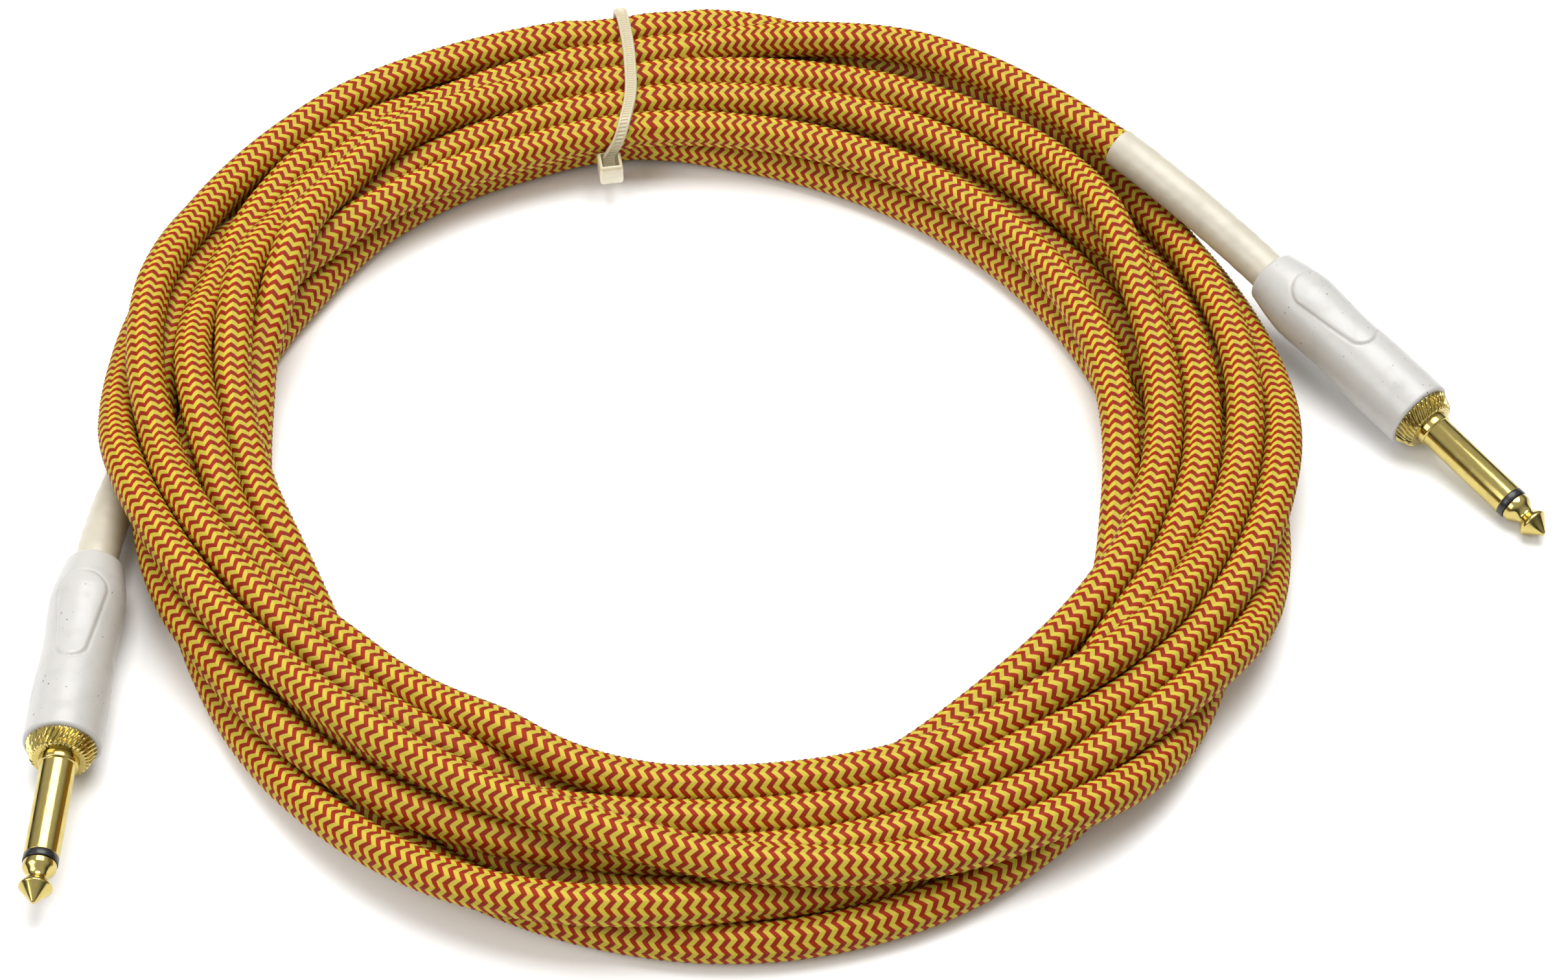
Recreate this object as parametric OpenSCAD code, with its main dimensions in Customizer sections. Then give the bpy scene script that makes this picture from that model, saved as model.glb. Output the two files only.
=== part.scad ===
// Instrument cable with a woven jacket: two moulded 6.35 mm plugs, a tied coil and its two leads.
// Units are millimetres. The coil lies on the plane z = 0.

/* [Cord] */
// Outside diameter of the woven cord
cord_d = 7.5; // [6:0.1:8.5]
// Diameter of the plain inner jacket, where the weave is stripped off
jacket_d = 5.8; // [5:0.1:5.9]
// Diameter of the insulated centre conductor
core_d = 2.4; // [1.6:0.1:2.6]
// Diameter of the twisted shield wires at the clamp
shield_d = 1.2; // [0.8:0.1:1.4]

/* [Coil] */
// Radius of the middle of the coil
coil_r = 99; // [75:1:125]
// Width of the coil's bundle of turns
coil_w = 38; // [30:1:46]
// Height of the coil's bundle of turns
coil_h = 15; // [12:0.5:18]

/* [Cable tie] */
// Width of the tie's strap
strap_w = 2.5; // [1.8:0.1:4.8]
// Thickness of the tie's strap
strap_t = 1.1; // [0.8:0.1:1.4]
// Width of the tie's head
tie_head_w = 4.9; // [4:0.1:7]
// Height of the tie's head
tie_head_h = 4.6; // [3.5:0.1:6]
// How far the tie's head stands off the bundle
tie_head_t = 4.2; // [3:0.1:6]

/* [Plug contacts] */
// Diameter of the plug's sleeve contact
sleeve_d = 6.35; // [5.2:0.05:7.7]
// Length of the plain sleeve contact, from the neck to the insulating ring
sleeve_l = 19.8; // [16:0.1:24]
// Diameter of the turned neck behind the sleeve
neck_d = 7.2; // [6.8:0.1:7.8]
// Length of the turned neck
neck_l = 1.5; // [1:0.1:2.5]
// Length of the black ring between sleeve and tip
ring_l = 1.35; // [1:0.05:2]
// Diameter of the tip contact at its widest
tip_d = 6; // [5.4:0.1:6.2]
// Diameter of the tip contact at its groove
groove_d = 3.7; // [3.4:0.1:4.4]
// Length of the tip contact
tip_l = 8.35; // [7:0.05:10]
// Diameter of the rod that holds the tip
rod_d = 2.2; // [1.6:0.1:2.4]

/* [Knurled collar] */
// Diameter of the collar's front face
collar_front_d = 9.6; // [8.4:0.1:10.4]
// Diameter of the collar where it meets the handle
collar_d = 12.2; // [11.4:0.1:12.6]
// Length of the collar that shows
collar_l = 3.2; // [2.4:0.1:4]
// Length of the collar inside the handle
collar_tail_l = 4; // [3:0.1:6]
// Number of ribs round the collar
rib_count = 36; // [24:1:48]

/* [Handle] */
// Length of the moulded handle
handle_l = 42.4; // [36:0.1:51]
// Diameter of the handle at the cable end
handle_rear_d = 10.8; // [10.4:0.1:12]
// Diameter of the handle's belly
handle_belly_d = 14.1; // [13.4:0.1:15]
// Diameter of the handle's waist
handle_waist_d = 13.4; // [13:0.1:14]
// Diameter of the handle at the collar
handle_front_d = 14.2; // [13.6:0.1:15]
// Length of the thumb pad
pad_l = 20; // [14:0.5:24]
// Width of the thumb pad at its round end
pad_w = 8.4; // [6:0.1:9]
// How far the thumb pad stands proud
pad_t = 0.3; // [0.2:0.05:0.5]

/* [Heat shrink] */
// Wall of the heat-shrink sleeve
shrink_t = 0.2; // [0.1:0.05:0.5]

/* [Hidden] */
$fn = 48;

cream = [0.90, 0.87, 0.78];
white_plastic = [0.90, 0.90, 0.88];
gold = [0.83, 0.69, 0.30];
black_plastic = [0.08, 0.08, 0.08];
weave = [0.80, 0.55, 0.18];
mould_white = [0.93, 0.93, 0.88];
tie_nylon = [0.86, 0.82, 0.68];
copper = [0.80, 0.45, 0.25];

// clearances
slip = 0.05;        // round pieces that slide into each other
moulded = 0.02;     // plastic moulded round another piece
around_bundle = 0.15; // air between the tie and the bundle
handle_room = 0.3;  // how far the turns stay clear of a handle
cut = 1;            // how far a cutter runs past what it cuts

// the coil's place, and the side of it that the tie is on
coil_at = [-22, -2.4];
tie_angle = 99.5;
seat_l = 7;         // length of bundle that the tie gathers
seat_lap = 2;       // how far the gathered length runs into the coil on each side
seat_spread = 1.2;  // how much wider the bundle is on each side there
seat_bulge = 4;     // how much further out the bundle lies there

// walls and places inside a plug, along its axis from the collar's front face
sleeve_bore_d = 4.4;
sleeve_end_l = 1;   // how far the sleeve runs out behind the collar
washer_t = 1.2;
lug_t = 0.6;        // sheet metal of the two solder lugs
lug_rim = 1.1;      // metal round the tip lug's hole
clamp_gap = 0.4;    // air between the clamp and the inner mould
clamp_arm_w = 3;
clamp_band_l = 4;
clamp_split = 1.4;  // the gap that closes as the band is crimped
clamp_rim = 1.2;    // air between the clamp's ring and the rod
tongue_l = 5;       // the part of the tip lug that the core wire is soldered to
tongue_drop = 0.3;  // how far the tongue's face lies below the axis
wire_lap = 1.6;     // bare wire on either side of the tongue's end
mould_wall = 1;
mould_end = 1;
strip_l = 9;        // length of core wire that shows inside the plug
shield_share = 0.7; // how much of the stripped length the shield wires fill
cord_in_handle = 5; // woven cord inside the handle
shrink_end_gap = 1; // how much sooner than the cord the heat shrink ends there
tail_step = 0.6;    // how much thinner the collar is inside the handle
rod_seat_l = 2.4;   // how deep the rod goes into the tip

sleeve_front = neck_l + sleeve_l;
ring_front = sleeve_front + ring_l;
tip_end = ring_front + tip_l;
handle_front = -collar_l;
handle_rear = handle_front - handle_l;
collar_tail = handle_front - collar_tail_l;
sleeve_tail = collar_tail - sleeve_end_l;
clamp_ring_rear = sleeve_tail - lug_t;
washer_rear = clamp_ring_rear - washer_t;
lug_rear = washer_rear - lug_t;
cord_end = handle_rear + cord_in_handle;
jacket_front = lug_rear - tongue_l - strip_l;
clamp_band_rear = jacket_front - clamp_band_l;
shrink_d = cord_d + 2 * shrink_t;
mould_bore_d = jacket_d + 2 * (lug_t + clamp_gap);
mould_d = mould_bore_d + 2 * mould_wall;
mould_rear = clamp_band_rear - mould_end;
shrink_in = cord_in_handle - shrink_end_gap;
collar_tail_d = collar_d - tail_step;
washer_d = jacket_d - 2 * slip;
tongue_w = rod_d + 2 * lug_rim;

// the leads and plugs are laid round a coil of this radius, and keep their places round any other
laid_coil_r = 99;
function laid(point) = [
    coil_at[0] + (point[0] - coil_at[0]) * coil_r / laid_coil_r,
    coil_at[1] + (point[1] - coil_at[1]) * coil_r / laid_coil_r,
    point[2]];

// where each plug lies: the centre of its collar's front face, its heading and its droop
plug_a_at = laid([-133.2, -77.6, handle_front_d / 2]);
plug_a_heading = -91;
plug_a_droop = 0;
plug_b_at = laid([120.5, 3.8, 7.05]);
plug_b_heading = -51;
plug_b_droop = 8;

// hand-laid points of each lead, from inside the coil to the plug's handle
lead_a_points = [[-121.2, 34, 4], [-124.6, 22.4, 4], [-126.8, 10.8, 4],
                 [-129.4, -5.4, 4.4], [-131.5, -19.4, 6]];
lead_b_points = [[-12, 111.2, 13], [7, 107, 16], [22, 100.8, 18.4], [35, 93, 19.8],
                 [46, 84.4, 20.4], [55.5, 76.2, 20.4], [64, 68.2, 19.8], [74, 58.2, 18]];
// how many of those points, counted from the handle, the heat shrink covers
shrink_points_a = 3;
shrink_points_b = 2;

// ---- helpers ----

// a turned piece along +X from [radius, place along the axis] points
module turned(points) rotate([0, 90, 0]) rotate_extrude() polygon(points);

// a round bar along +X between two places
module bar(d, from, to) translate([from, 0, 0]) rotate([0, 90, 0]) cylinder(d = d, h = to - from);

// a tube along +X between two places
module pipe(d, bore, from, to) {
    difference() {
        bar(d, from, to);
        bar(bore, from - cut, to + cut);
    }
}

module block(size, at) translate(at) cube(size, center = true);

// a flat-sided oval with round ends
module oval(w, h) {
    square([w - h, h], center = true);
    for (side = [-1, 1]) translate([side * (w - h) / 2, 0]) circle(d = h);
}

// puts a piece that lies along +X where a plug lies
module at_plug(at, heading, droop) translate(at) rotate([0, droop, heading]) children();
module at_plug_a() at_plug(plug_a_at, plug_a_heading, plug_a_droop) children();
module at_plug_b() at_plug(plug_b_at, plug_b_heading, plug_b_droop) children();

function plug_way(heading, droop) =
    [cos(droop) * cos(heading), cos(droop) * sin(heading), -sin(droop)];
function along(at, heading, droop, place) = at + place * plug_way(heading, droop);
function unit(v) = v / norm(v);
function way_at(points, i) =
    unit(points[min(i + 1, len(points) - 1)] - points[max(i - 1, 0)]);
function last(points, count) = [for (i = [len(points) - count : len(points) - 1]) points[i]];

// a plain tube of one solid along a list of points, ends square to the route
sweep_sides = 10;
module sweep(points, d) {
    rings = [for (i = [0 : len(points) - 1])
        let (way = way_at(points, i), side = unit(cross([0, 0, 1], way)), up = cross(way, side))
        for (k = [0 : sweep_sides - 1])
            let (turn = (k + 0.5) * 360 / sweep_sides)
            points[i] + d / 2 * (cos(turn) * side + sin(turn) * up)];
    walls = [for (i = [0 : len(points) - 2]) for (k = [0 : sweep_sides - 1])
        let (n = (k + 1) % sweep_sides, a = i * sweep_sides, b = a + sweep_sides)
        [a + n, a + k, b + k, b + n]];
    start_cap = [for (k = [0 : sweep_sides - 1]) k];
    end_cap = [for (k = [0 : sweep_sides - 1]) len(rings) - 1 - k];
    polyhedron(points = rings, faces = concat([start_cap], walls, [end_cap]));
}

function lead_route(points, at, heading, droop) = concat(points, [
    along(at, heading, droop, handle_rear),
    along(at, heading, droop, cord_end)]);
lead_a_route = lead_route([for (point = lead_a_points) laid(point)], plug_a_at, plug_a_heading, plug_a_droop);
lead_b_route = lead_route([for (point = lead_b_points) laid(point)], plug_b_at, plug_b_heading, plug_b_droop);

// ---- coil and tie ----

module bundle_at_tie(w, h, l) {
    translate([coil_at[0], coil_at[1], 0]) rotate([0, 0, tie_angle]) translate([seat_r, 0, 0])
        rotate([90, 0, 0]) translate([0, tie_z, -l / 2]) linear_extrude(l) oval(w, h);
}
seat_bottom = strap_t + around_bundle;
seat_w = coil_w + 2 * seat_spread;
seat_r = coil_r + seat_bulge;
seat_h = coil_h - seat_bottom;
tie_z = seat_bottom + seat_h / 2;

module handle_space()
    bar(handle_belly_d + 2 * handle_room, handle_rear - handle_room, handle_front + handle_room);

module cable_coil() color(weave) {
    difference() {
        translate([coil_at[0], coil_at[1], 0]) rotate_extrude($fn = 144)
            translate([coil_r, coil_h / 2]) oval(coil_w, coil_h);
        at_plug_a() handle_space();
        at_plug_b() handle_space();
        translate([coil_at[0], coil_at[1], 0]) rotate([0, 0, tie_angle])
            block([coil_w + 2 * cut, seat_l, 2 * (coil_h + cut)], [coil_r, 0, 0]);
    }
    bundle_at_tie(seat_w, seat_h, seat_l + 2 * seat_lap);
}

module cable_tie() color(tie_nylon) {
    loop_w = seat_w + 2 * around_bundle;
    loop_h = seat_h + 2 * around_bundle;
    head_at = seat_r - loop_w / 2;
    difference() {
        union() {
            bundle_at_tie(loop_w + 2 * strap_t, loop_h + 2 * strap_t, strap_w);
            translate([coil_at[0], coil_at[1], 0]) rotate([0, 0, tie_angle])
                block([tie_head_t + strap_t, tie_head_w, tie_head_h],
                      [head_at - (tie_head_t + strap_t) / 2 + strap_t, 0, tie_z]);
        }
        bundle_at_tie(loop_w, loop_h, tie_head_w + 2 * cut);
    }
}

// ---- one plug, along +X, its collar's front face at 0 ----

// the handle's radius along its length: rear, belly, waist and front, eased between them
belly_at = handle_l * 0.225;
waist_at = handle_l * 0.47;
front_at = handle_l * 0.78;
function eased(t) = (1 - cos(180 * t)) / 2;
function between(a, b, t) = a + (b - a) * eased(t);
function swelling(a, b, t) = a + (b - a) * (t + sin(90 * t)) / 2;
function handle_r(s) =
    s < belly_at ? swelling(handle_rear_d, handle_belly_d, s / belly_at) / 2
    : s < waist_at ? between(handle_belly_d, handle_waist_d, (s - belly_at) / (waist_at - belly_at)) / 2
    : s < front_at ? between(handle_waist_d, handle_front_d, (s - waist_at) / (front_at - waist_at)) / 2
    : handle_front_d / 2;

rear_round = 1;     // edge at the cable end
front_round = 0.6;  // lip at the collar
profile_step = 1.5;
round_steps = [0 : 30 : 90];
function handle_outline(proud) = concat(
    [[0, handle_rear]],
    [for (a = round_steps)
        [handle_r(rear_round) + proud - rear_round * (1 - sin(a)), handle_rear + rear_round * (1 - cos(a))]],
    [for (s = [rear_round + profile_step : profile_step : handle_l - front_round - profile_step])
        [handle_r(s) + proud, handle_rear + s]],
    [for (a = round_steps)
        [handle_front_d / 2 + proud - front_round * (1 - cos(a)), handle_front - front_round * (1 - sin(a))]],
    [[0, handle_front]]);

// the outline of the thumb pad, seen from above, round end towards the cable
pad_at = 6.6;         // from the cable end
pad_narrowing = 0.62; // the slim end's width as a share of the round end's
pad_rear = handle_rear + pad_at;
module pad_outline() {
    small = pad_w * pad_narrowing;
    hull() {
        translate([pad_rear + pad_w / 2, 0]) circle(d = pad_w, $fn = 32);
        translate([pad_rear + pad_l - small / 2, 0]) circle(d = small, $fn = 32);
    }
}

module handle() color(white_plastic) {
    difference() {
        union() {
            turned(handle_outline(0));
            intersection() {
                turned(handle_outline(pad_t));
                linear_extrude(handle_belly_d) pad_outline();
            }
        }
        bar(collar_tail_d + 2 * moulded, collar_tail - moulded, handle_front + cut);
        bar(mould_d + 2 * moulded, mould_rear - moulded, collar_tail);
        bar(jacket_d + 2 * moulded, cord_end - moulded, mould_rear);
        bar(shrink_d + 2 * moulded, handle_rear - cut, cord_end);
    }
}

module inner_mould() color(mould_white)
    difference() {
        bar(mould_d, mould_rear, collar_tail - moulded);
        bar(mould_bore_d, clamp_band_rear, collar_tail);
        bar(jacket_d + 2 * moulded, mould_rear - cut, clamp_band_rear + cut);
    }

// the collar's slanted ribs are small prisms laid round its cone
rib_h = 0.35;
rib_w = 0.55;
rib_slant = 28;     // degrees from the plug's axis
module knurled_collar() color(gold) {
    cone_way = atan2((collar_d - collar_front_d) / 2, collar_l);
    difference() {
        union() {
            turned([[0, 0], [collar_front_d / 2, 0], [collar_d / 2, handle_front],
                    [collar_tail_d / 2, handle_front], [collar_tail_d / 2, collar_tail], [0, collar_tail]]);
            intersection() {
                turned([[0, 0], [collar_front_d / 2 + rib_h, 0], [collar_d / 2 + rib_h, handle_front],
                        [0, handle_front]]);
                for (k = [0 : rib_count - 1]) rotate([k * 360 / rib_count, 0, 0])
                    translate([-collar_l / 2, 0, (collar_d + collar_front_d) / 4])
                        rotate([0, cone_way, 0]) rotate([0, 0, rib_slant])
                            cube([2 * collar_l, rib_w, 2 * rib_h], center = true);
            }
        }
        bar(max(neck_d, sleeve_d) + 2 * slip, collar_tail - cut, cut);
    }
}

module sleeve() color(gold)
    difference() {
        union() {
            bar(neck_d, sleeve_tail, neck_l);
            bar(sleeve_d, sleeve_tail, sleeve_front);
        }
        bar(sleeve_bore_d, sleeve_tail - cut, sleeve_front + cut);
    }

module tip_insulator() color(black_plastic)
    pipe(sleeve_d, rod_d + 2 * slip, sleeve_front, ring_front);

module inner_insulator() color(black_plastic)
    pipe(sleeve_bore_d - 2 * slip, rod_d + 2 * slip, sleeve_tail, sleeve_front);

// the tip's outline: a rounded bead, a groove, and a cone whose edge is rounded
bead_share = 0.22;
groove_share = 0.38;
edge_share = 0.62;
tip_round = 0.25;
module tip() color(gold) {
    r = tip_d / 2;
    g = groove_d / 2;
    bead = ring_front + tip_l * bead_share;
    groove = ring_front + tip_l * groove_share;
    edge = ring_front + tip_l * edge_share;
    steps = [0.2 : 0.2 : 1];
    difference() {
        turned(concat(
            [[0, ring_front], [r - tip_round, ring_front], [r, ring_front + tip_round]],
            [[r, (bead + ring_front) / 2]],
            [for (t = steps) [between(r, g, t), between((bead + ring_front) / 2, groove, t)]],
            [for (t = steps) [between(g, r, t), groove + t * (edge - groove)]],
            [[r - tip_round / 2, edge + tip_round], [tip_round, tip_end - tip_round / 2], [0, tip_end]]));
        bar(rod_d + 2 * slip, ring_front - cut, ring_front + rod_seat_l + slip);
    }
}

module centre_rod() color("silver") bar(rod_d, lug_rear, ring_front + rod_seat_l);

module rear_washer() color(black_plastic) pipe(washer_d, rod_d + 2 * slip, washer_rear, clamp_ring_rear);

module tip_lug() color("silver") {
    pipe(tongue_w, rod_d + 2 * slip, lug_rear, washer_rear);
    block([tongue_l, tongue_w, lug_t], [lug_rear - tongue_l / 2, 0, -tongue_drop - lug_t / 2]);
}

// the sleeve's lug: a ring behind the sleeve, an arm, and a band crimped round the jacket
module ground_clamp() color("silver") {
    arm_l = clamp_ring_rear - clamp_band_rear;
    band_d = jacket_d + 2 * lug_t + 2 * slip;
    pipe(mould_bore_d - 2 * slip, rod_d + 2 * clamp_rim, clamp_ring_rear, sleeve_tail);
    intersection() {
        pipe(band_d, jacket_d + 2 * slip, clamp_band_rear, clamp_ring_rear + lug_t / 2);
        block([arm_l + 2 * lug_t, clamp_arm_w, band_d / 2], [clamp_band_rear + arm_l / 2, 0, -band_d / 2]);
    }
    difference() {
        pipe(band_d, jacket_d + 2 * slip, clamp_band_rear, jacket_front);
        block([clamp_band_l + 2 * cut, clamp_split, jacket_d],
              [(clamp_band_rear + jacket_front) / 2, 0, jacket_d / 2]);
    }
}

module jacket_end() color(black_plastic) bar(jacket_d, cord_end, jacket_front);

module core_wire() color(mould_white) {
    tongue_rear = lug_rear - tongue_l;
    bare_d = core_d / 2;
    bar(core_d, jacket_front, tongue_rear);
    translate([0, 0, bare_d / 2 + slip - tongue_drop]) bar(bare_d, tongue_rear - wire_lap, tongue_rear + wire_lap);
}

module shield_wire() color(copper)
    translate([0, 0, (shield_d - jacket_d) / 2]) bar(shield_d, jacket_front, jacket_front + strip_l * shield_share);

// ---- leads and sleeves ----

module cable_lead_a() color(weave) sweep(lead_a_route, cord_d);
module cable_lead_b() color(weave) sweep(lead_b_route, cord_d);

// the heat shrink covers the last points of a lead and ends inside the handle
module heat_shrink(route, covered, at, heading, droop) color(cream) {
    points = last(route, covered + 2);
    inside = along(at, heading, droop, handle_rear + shrink_in);
    start = points[0];
    end_way = plug_way(heading, droop);
    start_way = unit(points[1] - start);
    shell = concat([for (i = [0 : len(points) - 2]) points[i]], [inside]);
    bore = concat([start - start_way], [for (i = [0 : len(points) - 2]) points[i]], [inside + end_way]);
    difference() {
        sweep(shell, shrink_d);
        sweep(bore, cord_d + 2 * moulded);
    }
}
module heat_shrink_a()
    heat_shrink(lead_a_route, shrink_points_a, plug_a_at, plug_a_heading, plug_a_droop);
module heat_shrink_b()
    heat_shrink(lead_b_route, shrink_points_b, plug_b_at, plug_b_heading, plug_b_droop);

module handle_a() at_plug_a() handle();
module inner_mould_a() at_plug_a() inner_mould();
module knurled_collar_a() at_plug_a() knurled_collar();
module sleeve_a() at_plug_a() sleeve();
module tip_a() at_plug_a() tip();
module tip_insulator_a() at_plug_a() tip_insulator();
module inner_insulator_a() at_plug_a() inner_insulator();
module centre_rod_a() at_plug_a() centre_rod();
module rear_washer_a() at_plug_a() rear_washer();
module tip_lug_a() at_plug_a() tip_lug();
module ground_clamp_a() at_plug_a() ground_clamp();
module jacket_end_a() at_plug_a() jacket_end();
module core_wire_a() at_plug_a() core_wire();
module shield_wire_a() at_plug_a() shield_wire();

module handle_b() at_plug_b() handle();
module inner_mould_b() at_plug_b() inner_mould();
module knurled_collar_b() at_plug_b() knurled_collar();
module sleeve_b() at_plug_b() sleeve();
module tip_b() at_plug_b() tip();
module tip_insulator_b() at_plug_b() tip_insulator();
module inner_insulator_b() at_plug_b() inner_insulator();
module centre_rod_b() at_plug_b() centre_rod();
module rear_washer_b() at_plug_b() rear_washer();
module tip_lug_b() at_plug_b() tip_lug();
module ground_clamp_b() at_plug_b() ground_clamp();
module jacket_end_b() at_plug_b() jacket_end();
module core_wire_b() at_plug_b() core_wire();
module shield_wire_b() at_plug_b() shield_wire();

cable_coil();
cable_tie();
cable_lead_a();
heat_shrink_a();
handle_a();
inner_mould_a();
knurled_collar_a();
sleeve_a();
tip_a();
tip_insulator_a();
inner_insulator_a();
centre_rod_a();
rear_washer_a();
tip_lug_a();
ground_clamp_a();
jacket_end_a();
core_wire_a();
shield_wire_a();
cable_lead_b();
heat_shrink_b();
handle_b();
inner_mould_b();
knurled_collar_b();
sleeve_b();
tip_b();
tip_insulator_b();
inner_insulator_b();
centre_rod_b();
rear_washer_b();
tip_lug_b();
ground_clamp_b();
jacket_end_b();
core_wire_b();
shield_wire_b();
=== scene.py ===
"""Instrument cable: a woven cord wound in a tied coil, with a moulded 6.35 mm plug on each end.

Units are metres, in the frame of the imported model. The coil lies on the floor, z = 0.
"""

from math import cos, pi, radians, sin, sqrt, tan

import bpy
import numpy as np
from bpy.props import FloatProperty, FloatVectorProperty, IntProperty, PointerProperty
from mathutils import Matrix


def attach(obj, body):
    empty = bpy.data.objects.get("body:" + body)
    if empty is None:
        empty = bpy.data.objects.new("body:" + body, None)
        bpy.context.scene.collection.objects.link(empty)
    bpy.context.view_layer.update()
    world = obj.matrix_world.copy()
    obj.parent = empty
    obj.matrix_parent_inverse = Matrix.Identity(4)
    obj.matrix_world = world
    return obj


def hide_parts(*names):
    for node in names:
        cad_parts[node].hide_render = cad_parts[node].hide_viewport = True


bl_info = {
    "name": "Instrument cable",
    "version": (1, 0, 0),
    "blender": (4, 5, 0),
    "location": "3D View > Sidebar > Instrument cable",
    "description": "A coiled instrument cable with a woven jacket, two moulded plugs and a cable tie",
    "category": "Add Mesh",
}

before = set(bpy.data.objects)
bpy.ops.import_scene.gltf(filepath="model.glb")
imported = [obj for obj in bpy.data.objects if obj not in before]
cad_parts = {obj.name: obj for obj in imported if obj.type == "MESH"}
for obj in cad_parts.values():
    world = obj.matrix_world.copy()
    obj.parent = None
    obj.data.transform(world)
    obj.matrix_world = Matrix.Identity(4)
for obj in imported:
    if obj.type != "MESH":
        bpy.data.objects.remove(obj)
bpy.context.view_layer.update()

MM = 0.001

# ---- the coil: where it lies and how it is wound ----

COIL_AT = np.array((-0.0220, -0.0024))
TIE_ANGLE = 99.5                 # degrees round the coil
TIE_RADIUS = 0.103               # middle of the bundle inside the tie
TIE_Z = 0.008125
TIE_CORNER = 0.0040      # how round the strap goes at its corners, inside
TIE_ROUND = 0.0070       # and at the outer one on top, over a turn that lies further in
TIE_LOOP_W, TIE_LOOP_H = 0.0407, 0.01405   # inside the strap
HEAD_BESIDE = 0.0046             # the head sits a little round the coil from the strap's middle
# how far the strap leans round the coil, from the bundle's outside over its top to the head
STRAP_LEAN = (np.array((0, 0.15, 0.5, 0.75, 0.9, 1)),
              np.array((-0.0031, -0.0032, -0.0029, -0.0010, 0.0018, HEAD_BESIDE)))
BUNDLE_UNDERSIDE = 0.00125       # the strap's thickness and a little air lie under the bundle
FIRST_KEY, KEY_EVERY = 100, 30   # degrees
LAST_LAP = 9

# one row for each turn, from the tie round to the tie again: the turn's radius every 30 degrees,
# and how many turns it lies on there
TURNS = (
    ((0.1084, 0.108, 0.093, 0.0795, 0.0785, 0.09, 0.095, 0.0910, 0.0860, 0.0825, 0.0845, 0.0852),
     (1.0, 1.2, 1.4, 0.9, 0, 0, 0, 0, 0.1, 1.1, 1.1, 1.1)),
    ((0.0873, 0.092, 0.095, 0.0965, 0.0945, 0.0925, 0.0895, 0.0975, 0.1082, 0.1105, 0.112, 0.1145),
     (1.0, 1.0, 0.7, 0.9, 1.1, 0.9, 1, 1.05, 1, 0.15, 0, 0)),
    ((0.1193, 0.122, 0.1154, 0.1022, 0.0915, 0.0928, 0.105, 0.1100, 0.1053, 0.0985, 0.101, 0.1035),
     (0, 0, 0.3, 1.6, 1.9, 1.8, 1.5, 0.8, 0, 0, 0, 0)),
    ((0.1047, 0.1065, 0.1085, 0.0992, 0.095, 0.0985, 0.098, 0.105, 0.1112, 0.106, 0.1065, 0.108),
     (0, 0, 0.8, 0.6, 0.9, 1, 0.8, 1, 0.4, 0, 0, 0)),
    ((0.112, 0.1115, 0.1005, 0.0885, 0.0815, 0.084, 0.0865, 0.091, 0.1033, 0.1105, 0.1105, 0.113),
     (0, 0.1, 1.05, 1.4, 1, 1, 1, 1.05, 1.1, 1.05, 0.7, 0.6)),
    ((0.1157, 0.1235, 0.1105, 0.0957, 0.086, 0.086, 0.088, 0.0865, 0.0865, 0.0934, 0.1017, 0.1055),
     (1.1, 1.1, 1.2, 1.6, 1.1, 0.2, 0.2, 0, 0.8, 1.2, 1.5, 1.4)),
    ((0.1011, 0.101, 0.094, 0.082, 0.0885, 0.1003, 0.1025, 0.097, 0.0945, 0.0995, 0.0995, 0.0975),
     (1.0, 1.3, 1.1, 0, 0, 0, 0, 0, 0.5, 1, 0.9, 1)),
    ((0.0937, 0.1005, 0.0985, 0.0970, 0.0985, 0.1145, 0.1095, 0.103, 0.092, 0.0835, 0.0818, 0.083),
     (1.0, 0.3, 0, 0, 0.2, 0.9, 0.4, 0, 0, 0, 0, 0)),
    ((0.09, 0.0960, 0.0925, 0.0905, 0.0930, 0.1095, 0.1118, 0.105, 0.0985, 0.0915, 0.094, 0.0960),
     (0, 0, 0, 0, 0, 0, 0, 0, 0, 0, 0, 0)),
    ((0.0973, 0.0985), (0, 0)),
)

# the given points of each lead, from inside the coil to the plug's handle
LEAD_A = ((-0.1212, 0.0340, 0.0040), (-0.1246, 0.0224, 0.0040), (-0.1268, 0.0108, 0.0040),
          (-0.1294, -0.0054, 0.0044), (-0.1315, -0.0194, 0.0060))
LEAD_B = ((-0.0122, 0.1080, 0.0135), (0.0062, 0.1046, 0.0172), (0.0220, 0.1008, 0.0184),
          (0.0350, 0.0930, 0.0198), (0.0460, 0.0844, 0.0204), (0.0555, 0.0762, 0.0204),
          (0.0640, 0.0682, 0.0198), (0.0740, 0.0582, 0.0180))
# how many of those points, counted from the handle, the heat shrink covers
SHRINK_POINTS = {"a": 3, "b": 2}

# ---- places along a plug's axis, from the collar's front face towards the tip ----

HANDLE_FRONT, HANDLE_REAR = -0.0032, -0.0456
HANDLE_L = HANDLE_FRONT - HANDLE_REAR
CORD_END = -0.0406
COLLAR_TAIL = -0.0072
SLEEVE_TAIL = -0.0082
MOULD_REAR = -0.0296
NECK_L = 0.0015
SLEEVE_FRONT, RING_FRONT, TIP_END = 0.0213, 0.02265, 0.0310
SHRINK_IN = 0.0040               # heat shrink inside the handle

# each plug's place, heading and droop in degrees
PLUGS = {
    "a": ((-0.1332, -0.0776, 0.0071), -91, 0),
    "b": ((0.1205, 0.0038, 0.00705), -51, 8),
}


# ---- sizes and colours that a user would change ----

def size(name, description, default, low, high):
    return FloatProperty(name=name, description=description, default=default, min=low, max=high,
                         precision=5, unit="LENGTH", subtype="DISTANCE")


def colour(name, description, default):
    return FloatVectorProperty(name=name, description=description, default=default, size=3,
                               min=0, max=1, subtype="COLOR")


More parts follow.
